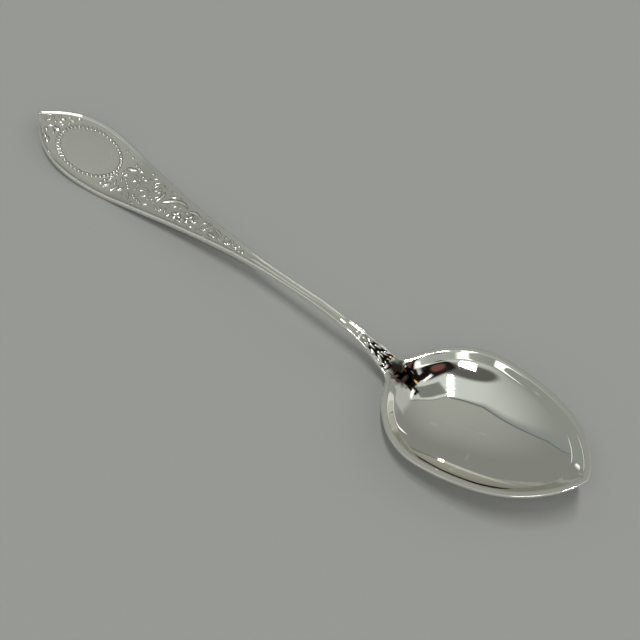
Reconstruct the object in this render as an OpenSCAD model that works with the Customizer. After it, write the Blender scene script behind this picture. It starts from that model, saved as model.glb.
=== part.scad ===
// A die-struck teaspoon: pointed bowl, arched stem and a leaf-shaped handle with struck ornament.
// X runs from the tip of the handle to the tip of the bowl, Z is up, and the spoon rests on Z = 0.
// Each named part is a region of one piece of metal, and neighbours meet face to face.

/* [Spoon] */
// Overall length, from the tip of the handle to the tip of the bowl
spoon_len = 150; // [135:1:165]

/* [Bowl] */
// Length of the bowl from the neck to its tip
bowl_len = 44.8; // [41:0.2:48]
// Width of the bowl over its lip
bowl_w = 29.8; // [27:0.2:32]
// Depth of the bowl below its lip
bowl_depth = 5.4; // [4.6:0.1:6.4]
// Rise of the lip from the neck to the tip
lip_rise = 9; // [7:0.2:10]
// How far the lip dips below a straight line from the neck to the tip
lip_sag = 1.3; // [0:0.1:1.8]
// Thickness of the metal at the bottom of the bowl
bowl_wall = 0.9; // [0.8:0.05:1.2]
// Width of the flat lip
lip_w = 1.1; // [0.8:0.05:1.5]
// Thickness of the lip at its edge
lip_t = 0.8; // [0.6:0.05:1]
// Depth worn flat under the bowl where it rests
rest_flat = 0.1; // [0.06:0.02:0.14]

/* [Handle] */
// Width of the blade where it is widest
blade_w = 16.1; // [15:0.2:18]
// Thickness of the blade under its mouldings
blade_t = 1.2; // [1:0.05:1.5]
// Height of the blade's side face
blade_side = 0.8; // [0.5:0.05:0.9]
// Width of the stem where it is narrowest
stem_w = 1.9; // [1.7:0.05:2.4]
// Thickness of the stem under its mouldings
stem_t = 1.7; // [1.4:0.05:2.2]
// Height of the stem's side face
stem_side = 0.6; // [0.4:0.05:0.9]
// Width of the neck where the shoulders meet the bowl
neck_w = 5.4; // [4.8:0.1:6.2]
// Thickness of the neck under its mouldings
neck_t = 1.5; // [1.3:0.05:1.9]
// Height of the arch under the stem
arch_h = 6; // [4.5:0.1:7.5]

/* [Mouldings] */
// Width of the thread along each edge of the handle
thread_w = 0.8; // [0.6:0.05:1]
// Height of the thread above the ground of the ornament
thread_h = 0.3; // [0.2:0.05:0.5]
// Height of the shallow band along the middle of the stem
rib_h = 0.14; // [0.1:0.02:0.2]

/* [Ornament] */
// Length of the plain oval reserve
oval_len = 15.4; // [13:0.2:16]
// Width of the plain oval reserve
oval_w = 9.8; // [8:0.2:10.2]
// Height of the reserve above the ground
oval_h = 0.12; // [0.08:0.02:0.25]
// Diameter of the beads in the border round the reserve
bead_d = 0.8; // [0.6:0.05:0.9]
// Height of the beads
bead_h = 0.3; // [0.2:0.05:0.4]
// Gap between the reserve and its border
bead_gap = 0.4; // [0.15:0.05:0.5]
// Width of the scrolls and leaf strokes
scroll_w = 0.55; // [0.4:0.05:0.6]
// Height of the scrolls and leaf strokes
relief_h = 0.3; // [0.2:0.02:0.4]

/* [Hidden] */
silver = [0.86, 0.86, 0.84];
bright_silver = [0.93, 0.93, 0.91];
handle_len = spoon_len - bowl_len;
// Shares along the handle count from where its edges would meet, just ahead of the rounded tip
tip_trim_share = 0.013;
tip_trim = tip_trim_share * handle_len;
outline_len = handle_len + tip_trim;
function along(share) = share * outline_len - tip_trim;

// Places along the handle, and what the half width follows there: blade, stem and neck
width_shares = [
    [0.013, 0.03, 0, 0], [0.026, 0.2, 0, 0], [0.05, 0.46, 0, 0], [0.084, 0.74, 0, 0],
    [0.131, 0.945, 0, 0], [0.178, 1, 0, 0], [0.234, 0.94, 0, 0], [0.3, 0.8, 0, 0],
    [0.375, 0.63, 0, 0], [0.45, 0.46, 0, 0], [0.525, 0.3, 0.25, 0], [0.6, 0.15, 0.6, 0],
    [0.665, 0.045, 0.9, 0], [0.73, 0, 1, 0], [0.8, 0, 1, 0], [0.88, 0, 1, 0.04],
    [0.935, 0, 0.85, 0.2], [0.97, 0, 0.5, 0.53], [1, 0, 0, 1]];
// Places along the handle, and the height under it as shares of the arch and of the neck
height_shares = [
    [0.013, 0.255, 0], [0.06, 0.23, 0], [0.085, 0.2, 0], [0.16, 0.11, 0], [0.235, 0.02, 0],
    [0.27, 0.005, 0], [0.335, 0.13, 0], [0.465, 0.41, 0], [0.6, 0.71, 0], [0.73, 0.89, 0],
    [0.84, 1, 0], [0.935, 0.81, 0], [1, 0, 1]];
// Places along the handle, and how far the section is that of the blade, the stem and the neck
section_mix_shares = [
    [0.013, 1, 0, 0], [0.3, 1, 0, 0], [0.4, 1, 0, 0], [0.55, 0.6, 0.4, 0], [0.7, 0.15, 0.85, 0],
    [0.8, 0, 1, 0], [0.92, 0, 1, 0], [1, 0, 0, 1]];
// Half outline of the bowl after the neck, as shares of its length and of its half width
bowl_shares = [
    [0.02, 0.226], [0.034, 0.292], [0.051, 0.388], [0.078, 0.51], [0.13, 0.69], [0.22, 0.888],
    [0.335, 0.993], [0.465, 0.985], [0.583, 0.93], [0.7, 0.835], [0.82, 0.66], [0.92, 0.402],
    [0.977, 0.17], [1, 0]];
// Deepest place of the bowl along its length
deep_share = 0.45;
// Inside the lip a steep band runs round the bowl, down to a crease where the floor begins
band_share = 0.91;
band_depth_share = 0.26;
// Powers of the curves: the bowl inside and outside, and the underside of blade and stem
inner_power = 2.3;
outer_power = 2.5;
blade_power = 5;
stem_power = 2.2;
// Share of the handle that is blade
blade_share = 0.56;
// Longest facet along the bowl's rim and along the handle
rim_facet = 1.5;
handle_facet = 2;
section_steps = 10;
bowl_rings = 10;

// Smooth curve through values vs at places ts
function tangent(ts, vs, i) =
    let (n = len(ts), a = max(i - 1, 0), b = min(i + 1, n - 1))
    (a == i || b == i) ? (vs[b] - vs[a]) / (ts[b] - ts[a])
        : ((vs[i] - vs[a]) / (ts[i] - ts[a]) * (ts[b] - ts[i])
        + (vs[b] - vs[i]) / (ts[b] - ts[i]) * (ts[i] - ts[a])) / (ts[b] - ts[a]);
function span_at(ts, t) = max([0, for (i = [1:len(ts) - 2]) if (t >= ts[i]) i]);
function smooth_at(ts, vs, t) =
    let (i = span_at(ts, t), h = ts[i + 1] - ts[i], u = (t - ts[i]) / h, v = 1 - u)
    v * v * (1 + 2 * u) * vs[i] + u * u * (1 + 2 * v) * vs[i + 1]
        + h * u * v * (v * tangent(ts, vs, i) - u * tangent(ts, vs, i + 1));
function column(table, c) = [for (row = table) row[c]];
function mixed(table, share, sizes) =
    let (places = column(table, 0))
    sizes * [for (c = [1:len(sizes)]) smooth_at(places, column(table, c), share)];

// Sections of the handle
function share_at(x) = (x + tip_trim) / outline_len;
function half_width(x) = mixed(width_shares, share_at(x), [blade_w, stem_w, neck_w]) / 2;
function section_mix(x, sizes) = mixed(section_mix_shares, share_at(x), sizes);
function thickness(x) = section_mix(x, [blade_t, stem_t, neck_t]);
function side_face(x) = section_mix(x, [blade_side, stem_side, lip_t]);
function section_power(x) = section_mix(x, [blade_power, stem_power, stem_power]);
function raw_under(x) = mixed(height_shares, share_at(x), [arch_h, 0]);
function neck_part(x) = mixed(height_shares, share_at(x), [0, 1]);
stations = [for (i = [0:len(width_shares) - 2])
    let (a = along(width_shares[i][0]), b = along(width_shares[i + 1][0]),
        n = max(2, ceil((b - a) / handle_facet)))
    for (k = [0:n - 1]) a + (b - a) * k / n, handle_len];
blade_stations = [for (x = stations) if (x < along(blade_share)) x];
blade_low = min([for (x = blade_stations) raw_under(x)]);
function under(x) = raw_under(x) - blade_low * (1 - neck_part(x)) + neck_part(x) * neck_under;
function ground(x) = under(x) + thickness(x);
section_shares = [for (j = [0:section_steps]) -cos(180 * j / section_steps)];
function roundness(s, p) = pow(max(0, 1 - pow(abs(s), p)), 1 / p);
function section_ring(x) =
    let (w = half_width(x), g = ground(x), side = side_face(x), t = thickness(x), p = section_power(x))
    [for (s = section_shares) [x, s * w, g - side - (t - side) * roundness(s, p)],
        [x, w, g], [x, -w, g]];

// Width of the thread across the handle, which grows where the edge runs aslant
edge_step = handle_facet / 4;
function edge_slope(x) =
    let (a = max(0, x - edge_step), b = min(handle_len, x + edge_step))
    (half_width(b) - half_width(a)) / (b - a);
stem_thread_share = 0.5;
neck_thread_share = 0.32;
function thread_limit(x) = x < along(blade_share) ? 1
    : x < along(rib_to_share) ? stem_thread_share : neck_thread_share;
function thread_across(x) =
    min(thread_w * norm([1, edge_slope(x)]), thread_limit(x) * half_width(x));
thread_profile_shares = [[0, 0], [0, 0.55], [0.2, 0.9], [0.5, 1], [0.8, 0.75], [1, 0]];
function thread_ring(x) =
    let (w = half_width(x), across = thread_across(x), g = ground(x))
    [for (p = thread_profile_shares) [x, w - p[0] * across, g + p[1] * thread_h]];

// Outline of the bowl, clockwise from above, starting at the neck
neck_x = handle_len;
function bowl_point(p) = [neck_x + p[0] * bowl_len, p[1] * bowl_w / 2];
rim_points = [[neck_x, neck_w / 2], for (p = bowl_shares) bowl_point(p)];
function chords(points, i = 0, sum = 0) = i == len(points) - 1 ? [sum]
    : concat([sum], chords(points, i + 1, sum + sqrt(norm(points[i + 1] - points[i]))));
rim_places = chords(rim_points);
half_rim = [for (i = [0:len(rim_points) - 2])
    let (n = max(1, round(norm(rim_points[i + 1] - rim_points[i]) / rim_facet)))
    for (k = [0:n - 1])
    smooth_at(rim_places, rim_points, rim_places[i] + (rim_places[i + 1] - rim_places[i]) * k / n)];
heel_shares = [for (j = [1:section_steps - 1]) section_shares[j]];
rim_count = len(half_rim);
outline = [for (s = heel_shares) [neck_x, s * neck_w / 2], each half_rim, [spoon_len, 0],
    for (i = [rim_count - 1:-1:0]) [half_rim[i][0], -half_rim[i][1]]];
columns = len(outline);
// How far each column of the bowl is in the heel, where the lip drops to the handle's ground
thread_reach_share = 0.2;
heel = [for (i = [0:columns - 1]) i < len(heel_shares)
    ? min(1, (1 - abs(heel_shares[i])) / thread_reach_share) : 0];
heel_power = 12;
deep_point = [neck_x + deep_share * bowl_len, 0];
function lip_inset(i) =
    let (a = outline[(i + columns - 1) % columns], b = outline[(i + 1) % columns], t = (b - a) / norm(b - a),
        r = (deep_point - outline[i]) / norm(deep_point - outline[i]))
    outline[i] + r * lip_w / (r * [t[1], -t[0]]);
inner_outline = [for (i = [0:columns - 1]) lip_inset(i)];

// Heights in the bowl
function lip_height(x) = let (u = (x - neck_x) / bowl_len) lip_rise * u - 4 * lip_sag * u * (1 - u);
// The lip's edge runs into the neck's side face within this distance of the neck
heel_run = neck_w / 2;
function heel_fade(x) = max(0, 1 - (x - neck_x) / heel_run);
outer_depth = bowl_depth + bowl_wall - lip_t;
ring_shares = [for (k = [0:bowl_rings - 1]) cos(90 * k / bowl_rings)];
inner_shares = [1, for (k = [0:bowl_rings - 1]) band_share * cos(90 * k / bowl_rings)];
function floor_depth(share) = share > band_share
    ? bowl_depth * band_depth_share * (1 - share) / (1 - band_share)
    : bowl_depth * (1 - (1 - band_depth_share) * pow(share / band_share, inner_power));
function toward_deep(p, share) = deep_point + (p - deep_point) * share;
function outer_height(p, share) =
    lip_height(p[0]) - lip_t - thread_h * heel_fade(p[0]) - outer_depth * (1 - pow(share, outer_power));
lowest = min([for (p = outline) for (share = ring_shares) outer_height(toward_deep(p, share), share)]);
bowl_low = lowest + rest_flat;
function underside(p, share) = max(0, outer_height(p, share) - bowl_low);
neck_under = -bowl_low - thread_h - neck_t;
function inner_height(p, i, share) =
    lip_height(p[0]) - bowl_low - thread_h * heel[i] * pow(share, heel_power)
        - floor_depth(share);
function lifted(p, z) = [p[0], p[1], z];
outer_rings = [for (share = ring_shares) [for (p = outline)
    let (q = toward_deep(p, share)) lifted(q, underside(q, share))]];
inner_rings = [for (share = inner_shares) [for (i = [0:columns - 1])
    let (q = toward_deep(inner_outline[i], share)) lifted(q, inner_height(q, i, share))]];
lip_ring = [for (i = [0:columns - 1]) lifted(outline[i], inner_height(outline[i], i, 1))];

// Closed solid through rings of points, one ring after another
function cap(a, m, flip) = [for (i = [0:ceil(m / 2) - 2])
    let (p = a + i, q = p + 1, r = a + m - 2 - i, s = r + 1)
    each [flip ? [s, q, p] : [p, q, s], if (q != r) flip ? [s, r, q] : [q, r, s]]];
function loft_faces(n, m, a = 0) = [
    for (i = [0:n - 2]) for (j = [0:m - 1])
    let (p = a + i * m + j, q = a + i * m + (j + 1) % m)
    each [[p, q, q + m], [p, q + m, p + m]],
    each cap(a, m, true), each cap(a + (n - 1) * m, m, false)];
function starts(shells, i = 0, sum = 0) = i == len(shells) ? []
    : concat([sum], starts(shells, i + 1, sum + len(shells[i]) * len(shells[i][0])));
module shells(list) {
    first = starts(list);
    polyhedron([for (rings = list) for (ring = rings) each ring],
        [for (i = [0:len(list) - 1]) each loft_faces(len(list[i]), len(list[i][0]), first[i])]);
}
module placed() translate([-spoon_len / 2, 0, 0]) children();

module bowl() color(silver) placed() {
    floor_top = lifted(deep_point, inner_height(deep_point, 0, 0));
    floor_under = lifted(deep_point, underside(deep_point, 0));
    rings = concat([for (k = [bowl_rings:-1:0]) inner_rings[k]], [lip_ring], outer_rings);
    last = len(rings) * columns;
    points = [for (ring = rings) each ring, floor_top, floor_under];
    polyhedron(points, [
        for (i = [0:len(rings) - 2]) for (j = [0:columns - 1])
        let (p = i * columns + j, q = i * columns + (j + 1) % columns)
        each [[p, p + columns, q + columns], [p, q + columns, q]],
        for (j = [0:columns - 1]) [last, j, (j + 1) % columns],
        for (j = [0:columns - 1])
        [last + 1, last - columns + (j + 1) % columns, last - columns + j]]);
}

// The drop lies under the bowl's heel and takes the stem's thickness out to nothing
drop_rings = 5;
drop_edge = 0.12;
function drop_depth(k, s) =
    drop_edge + ((neck_t - lip_t) * roundness(s, stem_power) - drop_edge) * (1 - k / (drop_rings - 1));
module drop() color(silver) placed() {
    last = len(heel_shares) - 1;
    shells([[for (k = [0:drop_rings - 1]) [
        for (j = [0:last]) outer_rings[k][j] - [0, 0, drop_depth(k, heel_shares[j])],
        for (j = [last:-1:0]) outer_rings[k][j]]]]);
}

module handle_part(from, to) color(silver) placed()
    shells([[for (x = stations) if (x >= from && x <= to) section_ring(x)]]);
blade_end = blade_stations[len(blade_stations) - 1];
module blade() handle_part(0, blade_end);
module stem() handle_part(blade_end, handle_len);

module thread() color(bright_silver) placed() shells([[for (x = stations) thread_ring(x)]]);
module thread_left() thread();
module thread_right() mirror([0, 1, 0]) thread();

// Smooth path through a few points on the handle
function path(points, steps) =
    let (places = chords(points), n = len(points) - 1)
    [for (k = [0:steps]) let (t = places[n] * k / steps) smooth_at(places, points, t)];
// A ridge along a path on the ground, widest at a share of its length
function ridge(line, w, h, peak_share = leaf_peak_share) =
    let (n = len(line) - 1)
    [for (k = [0:n])
        let (a = line[max(0, k - 1)], b = line[min(n, k + 1)], t = (b - a) / norm(b - a),
            u = k / n, swell = u < peak_share ? sin(90 * u / peak_share)
            : cos(90 * (u - peak_share) / (1 - peak_share)),
            half = w / 2 * (ridge_end_share + (1 - ridge_end_share) * swell),
            p = line[k], q = p + [-t[1], t[0]] * half, r = p - [-t[1], t[0]] * half)
        [lifted(q, ground(q[0])), lifted(r, ground(r[0])), lifted(p, ground(p[0]) + h * half * 2 / w)]];
ridge_end_share = 0.25;
leaf_peak_share = 0.4;
even_peak_share = 0.5;
dome_sides = 6;
dome_profile_shares = [[1, 0], [0.8, 0.6], [0.35, 1]];
function dome(p, d, h) = [for (s = dome_profile_shares)
    [for (k = [0:dome_sides - 1])
        let (q = p + s[0] * d / 2 * [cos(-360 * k / dome_sides), sin(-360 * k / dome_sides)])
        lifted(q, ground(q[0]) + s[1] * h)]];

rib_from_share = 0.63;
rib_to_share = 0.895;
rib_w = stem_w / 3;
module stem_rib() color(silver) placed()
    shells([ridge([for (x = stations) if (x >= along(rib_from_share) && x <= along(rib_to_share))
        [x, 0]], rib_w, rib_h, even_peak_share)]);

// The oval sits on the straight stretch of the blade
oval_x_share = 0.171;
oval_x = along(oval_x_share);
oval_sides = 48;
ground_step = oval_len / 4;
ground_slope = (ground(oval_x + ground_step) - ground(oval_x - ground_step)) / (2 * ground_step);
function oval(rx, ry, n) = [for (k = [0.5:n - 0.5]) [rx * cos(360 * k / n), ry * sin(360 * k / n)]];
module cartouche() color(bright_silver) placed()
    translate([oval_x, 0, ground(oval_x)]) rotate([0, -atan(ground_slope), 0])
    linear_extrude(oval_h) polygon(oval(oval_len / 2, oval_w / 2, oval_sides));

// Beads go round the bowl's side of the oval and short reeds round the tip's side
bead_ring = [oval_len / 2 + bead_gap + bead_d / 2, oval_w / 2 + bead_gap + bead_d / 2];
bead_pitch_share = 1.2;
bead_count = 2 * floor(PI * (bead_ring[0] + bead_ring[1]) / (2 * bead_pitch_share * bead_d));
reed_from_share = -0.3;
reed_w_share = 0.9;
module bead_border() color(bright_silver) placed()
    shells([for (p = oval(bead_ring[0], bead_ring[1], bead_count)) let (c = [oval_x, 0] + p)
        p[0] > reed_from_share * bead_ring[0] ? dome(c, bead_d, bead_h)
            : ridge(path([c - p / norm(p) * bead_d / 2, c + p / norm(p) * bead_d / 2], 2),
                reed_w_share * scroll_w, bead_h, even_peak_share)]);

// The ornament's places: along the handle they keep clear of the oval's border, and across it they
// follow the width of the blade, ahead of the border its half width there, or the width of the neck
border_from_share = 0.0911;
border_to_share = 0.2506;
ornament_end_share = 0.625;
ornament_places = [[0, along(0)], [border_from_share, oval_x - bead_ring[0]],
    [border_to_share, oval_x + bead_ring[0]], [ornament_end_share, along(ornament_end_share)],
    [1, handle_len]];
blade_across_share = 6.62;
tip_across_share = 16.87;
neck_across_share = 19.735;
blade_across = blade_across_share * blade_w;
tip_across = tip_across_share * half_width(oval_x - bead_ring[0]);
neck_across = neck_across_share * neck_w;
function on_handle(p, across = blade_across) = [lookup(p[0], ornament_places), p[1] * across];
// Strokes: width as a share of scroll_w, then points as shares along and across the handle
tip_stroke_shares = [
    [1.2, [0.063, 0.019], [0.073, 0.024]], [1, [0.084, 0.029], [0.091, 0.035]],
    [0.9, [0.056, -0.013], [0.068, -0.004]], [1.7, [0.07, -0.007], [0.085, -0.005]],
    [1.2, [0.055, -0.02], [0.067, -0.024]], [1.3, [0.065, -0.031], [0.077, -0.038]],
    [1.5, [0.078, -0.034], [0.089, -0.045]], [1.1, [0.089, 0.043], [0.098, 0.046]],
    [0.8, [0.074, 0.031], [0.078, 0.037]], [0.8, [0.069, 0.008], [0.074, 0.016]],
    [0.8, [0.078, 0.006], [0.081, 0.015]], [0.9, [0.076, -0.014], [0.083, -0.022]]];
tip_bead_shares = [[0.9, [0.087, 0.02]], [0.7, [0.057, 0.023]], [0.7, [0.06, 0.006]]];
tip_volute_shares = [[0.043, 0.003], 0.012, 0.004, 20, 400];
spray_stroke_shares = [
    [1, [0.253, -0.02], [0.26, -0.01]], [0.9, [0.253, -0.026], [0.262, -0.02]],
    [1, [0.248, -0.033], [0.255, -0.03]], [1.1, [0.25, -0.038], [0.249, -0.046]],
    [1.3, [0.266, -0.029], [0.258, -0.048]], [1, [0.268, -0.016], [0.275, -0.028]],
    [1.2, [0.283, -0.023], [0.281, -0.046]], [1.2, [0.296, -0.023], [0.29, -0.035]],
    [1.6, [0.264, 0.021], [0.283, 0.031]], [1, [0.291, 0.03], [0.299, 0.037]],
    [0.9, [0.269, 0.044], [0.275, 0.037]], [0.9, [0.262, 0.012], [0.268, 0.003]],
    [0.9, [0.278, 0.012], [0.273, 0.002]], [0.8, [0.272, -0.002], [0.28, -0.012]]];
spray_bead_shares = [
    [0.8, [0.23, 0.055]], [0.8, [0.252, 0.05]], [0.9, [0.284, 0.037]], [0.7, [0.26, -0.003]],
    [0.8, [0.32, 0.044]]];
scroll_stroke_shares = [
    [0.9, [0.289, 0.021], [0.303, 0.014], [0.31, 0.015]], [1, [0.315, 0.018], [0.325, 0.025]],
    [0.9, [0.313, 0.011], [0.316, 0.002], [0.321, -0.013]], [0.7, [0.298, 0.001], [0.306, 0.01]],
    [0.7, [0.313, -0.022], [0.323, -0.034], [0.33, -0.039]], [1, [0.305, 0.028], [0.311, 0.021]],
    [0.9, [0.327, -0.022], [0.331, -0.027]], [0.9, [0.335, -0.024], [0.338, -0.03]],
    [0.9, [0.343, -0.026], [0.346, -0.032]], [0.9, [0.351, -0.028], [0.354, -0.034]],
    [1, [0.36, -0.031], [0.373, -0.023]], [1.2, [0.377, 0.023], [0.382, 0.009], [0.381, -0.008]],
    [0.7, [0.37, 0.02], [0.374, 0.008], [0.372, -0.004]], [1.2, [0.396, 0.019], [0.409, 0.026]],
    [1.4, [0.39, -0.003], [0.404, 0.011], [0.42, 0.02], [0.437, 0.022], [0.452, 0.016]],
    [0.8, [0.387, -0.017], [0.396, -0.023]], [0.8, [0.4, -0.013], [0.406, -0.024]],
    [0.8, [0.409, -0.008], [0.418, -0.02]], [0.8, [0.42, 0.002], [0.428, 0.012]],
    [0.7, [0.425, -0.024], [0.432, -0.016]]];
scroll_bead_shares = [
    [0.7, [0.283, -0.001]], [0.7, [0.29, -0.007]], [0.7, [0.297, -0.011]], [0.7, [0.304, -0.016]],
    [0.7, [0.36, -0.013]], [0.7, [0.345, 0.026]]];
scroll_volute_shares = [[[0.341, -0.007], 0.014, 0.005, 130, -420], [[0.358, 0.017], 0.011, 0.004, 300, 420]];
flower_shares = [[[0.442, -0.009], 0.011], [[0.471, -0.002], 0.012]];
flower_stroke_shares = [
    [1.2, [0.449, -0.018], [0.462, -0.018]], [1.3, [0.457, 0.011], [0.471, 0.017], [0.49, 0.014]],
    [0.9, [0.485, -0.006], [0.492, 0.004]], [0.9, [0.481, -0.017], [0.492, -0.014]]];
husk_stroke_shares = [
    [0.8, [0.5, 0.015], [0.515, 0.017], [0.526, 0.01]], [1.4, [0.53, -0.006], [0.547, -0.007]],
    [1, [0.53, 0.011], [0.545, 0.008], [0.56, 0.003]], [0.8, [0.55, -0.001], [0.562, -0.006]],
    [0.8, [0.564, 0.008], [0.573, 0.005]], [0.9, [0.571, -0.002], [0.58, -0.008]],
    [0.8, [0.579, 0.001], [0.585, -0.006]], [0.9, [0.58, 0.009], [0.59, 0.005]],
    [0.9, [0.592, -0.004], [0.606, 0]], [0.8, [0.598, 0.005], [0.609, 0.006]]];
husk_bead_shares = [[1, [0.62, -0.001]]];
husk_volute_shares = [[0.514, 0], 0.012, 0.004, 60, 400];
shoulder_stroke_shares = [
    [0.8, [0.909, 0], [0.921, 0]], [0.6, [0.918, 0.0045], [0.931, 0.006]], [0.7, [0.926, 0], [0.94, 0]],
    [0.6, [0.935, 0.0045], [0.949, 0.0065]], [0.7, [0.945, 0], [0.959, 0]],
    [0.7, [0.953, 0.0055], [0.967, 0.0095]], [0.7, [0.964, 0], [0.98, 0]],
    [0.7, [0.969, 0.0045], [0.983, 0.0085]]];
stroke_step_share = 2.2;
stroke_step = stroke_step_share * scroll_w;
function span_length(points) = let (n = len(points)) n < 2 ? 0
    : norm(points[1] - points[0]) + span_length([for (i = [1:n - 1]) points[i]]);
function stroke(row, across = blade_across) =
    let (points = [for (i = [1:len(row) - 1]) on_handle(row[i], across)])
    ridge(path(points, max(2, ceil(span_length(points) / stroke_step))), row[0] * scroll_w,
        relief_h * min(1, row[0]));
function bead(row, across) = dome(on_handle(row[1], across), row[0] * bead_d, row[0] * bead_h);
// A volute winds from its outer radius to its inner one, from an angle through a turn
volute_steps = 14;
volute_w_share = 0.75;
volute_peak_share = 0.3;
function volute(row, across) =
    ridge([for (k = [0:volute_steps]) let (u = k / volute_steps, a = row[3] + row[4] * u,
        r = row[1] + (row[2] - row[1]) * u)
        on_handle(row[0] + r * [cos(a), sin(a)], across)], volute_w_share * scroll_w, relief_h,
        volute_peak_share);
// A flower has four leaves set crosswise
petal_w_share = 1.5;
petal_reach_shares = [0.35, 0.65, 1];
function flower(row) = [for (a = [0:90:270]) let (d = [cos(a), sin(a)])
    ridge([for (r = petal_reach_shares) on_handle(row[0] + r * row[1] * d)],
        petal_w_share * scroll_w, relief_h, even_peak_share)];
module relief(strokes, beads = [], volutes = [], flowers = [], across = blade_across)
    color(bright_silver) placed()
    shells([for (row = strokes) stroke(row, across), for (row = beads) bead(row, across),
        for (row = volutes) volute(row, across), for (row = flowers) each flower(row)]);
module tip_scrolls()
    relief(tip_stroke_shares, tip_bead_shares, [tip_volute_shares], across = tip_across);
module leaf_sprays() relief(spray_stroke_shares, spray_bead_shares);
module scroll_work() relief(scroll_stroke_shares, scroll_bead_shares, scroll_volute_shares);
module rosettes() relief(flower_stroke_shares, flowers = flower_shares);
module husk_drop() relief(husk_stroke_shares, husk_bead_shares, [husk_volute_shares]);
function mirrored(row) = [row[0], for (i = [1:len(row) - 1]) [row[i][0], -row[i][1]]];
module shoulder_leaves() relief([each shoulder_stroke_shares,
    for (row = shoulder_stroke_shares) if (row[1][1] > 0) mirrored(row)], across = neck_across);

bowl();
drop();
stem();
blade();
thread_left();
thread_right();
stem_rib();
cartouche();
bead_border();
tip_scrolls();
leaf_sprays();
scroll_work();
rosettes();
husk_drop();
shoulder_leaves();
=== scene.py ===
import math

import bmesh
import bpy
import numpy as np
from mathutils import Euler, Matrix


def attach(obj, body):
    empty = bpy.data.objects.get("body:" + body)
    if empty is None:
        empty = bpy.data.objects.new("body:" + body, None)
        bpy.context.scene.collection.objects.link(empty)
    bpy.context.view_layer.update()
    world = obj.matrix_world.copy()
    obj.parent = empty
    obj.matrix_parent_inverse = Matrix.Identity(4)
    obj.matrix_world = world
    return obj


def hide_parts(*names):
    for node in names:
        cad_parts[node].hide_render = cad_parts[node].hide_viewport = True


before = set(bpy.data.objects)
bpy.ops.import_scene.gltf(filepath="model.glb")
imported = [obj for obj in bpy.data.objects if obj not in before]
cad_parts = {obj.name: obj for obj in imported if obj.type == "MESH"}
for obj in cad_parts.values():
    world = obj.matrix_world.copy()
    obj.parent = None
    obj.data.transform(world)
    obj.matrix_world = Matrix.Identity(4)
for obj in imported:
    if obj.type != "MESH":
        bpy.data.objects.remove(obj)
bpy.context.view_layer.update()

mm = 0.001
# Sizes in millimetres. Lengths along the spoon count from the tip of the handle.
spoon = {"length": 150, "station": 0.4, "thinStation": 0.25, "thinFrom": 0.6}
handle = {
    "length": 105.2, "trimShare": 0.013,
    "bladeWidth": 16.1, "bladeThickness": 1.2, "bladeSide": 0.8, "bladePower": 5,
    "stemWidth": 1.9, "stemThickness": 1.7, "stemSide": 0.6, "stemPower": 2.2,
    "neckWidth": 5.4, "neckThickness": 1.5, "arch": 6,
    "middlePoints": 14,
}
thread = {
    "width": 0.8, "height": 0.3, "bladeEnd": 0.56, "stemLimit": 0.5, "neckLimit": 0.32,
    "stemRange": (0.5, 0.62), "neckRange": (0.88, 0.93), "slopeStep": 0.5, "neckBlend": 3,
    # its section, in shares of its width and height
    "points": 9, "spacing": 1.15, "crestAt": 0.42, "edgeRise": 0.3, "outerPower": 0.8, "innerPower": 1.6,
    "neckFrom": 0.45,
}
rib = {"height": 0.14, "width": 0.63, "start": 0.63, "end": 0.895, "fade": 0.03}
bowl = {
    "length": 44.8, "width": 29.8, "depth": 5.4, "wall": 0.9, "lipWidth": 1.1, "lipThickness": 0.8,
    "lipRise": 9, "lipSag": 1.3, "deepShare": 0.45, "bandShare": 0.91, "bandDepthShare": 0.26,
    "innerPower": 2.3, "outerPower": 2.5, "edgeRadius": 0.26, "restFlat": 0.1,
    # where shapes flow into each other: inside, at the heel, and under it
    "easing": (0.1, 1.3), "rounding": 9, "plainFrom": 0.86, "rimHold": 0.5,
    "heelFade": 3.5, "heelReach": 5, "heelSoft": 2.2, "heelRounds": 110, "dropEnd": 0.78,
    # rings and columns of the mesh, which lie close together round the corners
    "rimStep": 0.55, "floorRings": 44, "underRings": 36, "cornerPoints": 9, "creaseSpan": 0.45, "lipSpan": 0.4,
    "cornerShare": 0.97, "cornerReach": 0.45, "underShare": 0.955, "easingStep": 0.04,
}
# Width of the blade, the stem and the neck at places along the handle, as shares
widthTable = [
    (0.013, 0.03, 0, 0), (0.026, 0.2, 0, 0), (0.05, 0.46, 0, 0), (0.084, 0.74, 0, 0),
    (0.131, 0.945, 0, 0), (0.178, 1, 0, 0), (0.234, 0.94, 0, 0), (0.3, 0.8, 0, 0),
    (0.375, 0.63, 0, 0), (0.45, 0.46, 0, 0), (0.525, 0.3, 0.25, 0), (0.6, 0.15, 0.6, 0),
    (0.665, 0.045, 0.9, 0), (0.73, 0, 1, 0), (0.8, 0, 1, 0), (0.88, 0, 1, 0.04),
    (0.935, 0, 0.85, 0.2), (0.97, 0, 0.5, 0.53), (1, 0, 0, 1)]
# Height of the arch and of the neck under the handle
heightTable = [
    (0.013, 0.255, 0), (0.06, 0.23, 0), (0.085, 0.2, 0), (0.16, 0.11, 0), (0.235, 0.02, 0),
    (0.27, 0.005, 0), (0.335, 0.13, 0), (0.465, 0.41, 0), (0.6, 0.71, 0), (0.73, 0.89, 0),
    (0.84, 1, 0), (0.935, 0.81, 0), (1, 0, 1)]
# How far the section is that of the blade, the stem and the neck
sectionTable = [
    (0.013, 1, 0, 0), (0.3, 1, 0, 0), (0.4, 1, 0, 0), (0.55, 0.6, 0.4, 0), (0.7, 0.15, 0.85, 0),
    (0.8, 0, 1, 0), (0.92, 0, 1, 0), (1, 0, 0, 1)]
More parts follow.
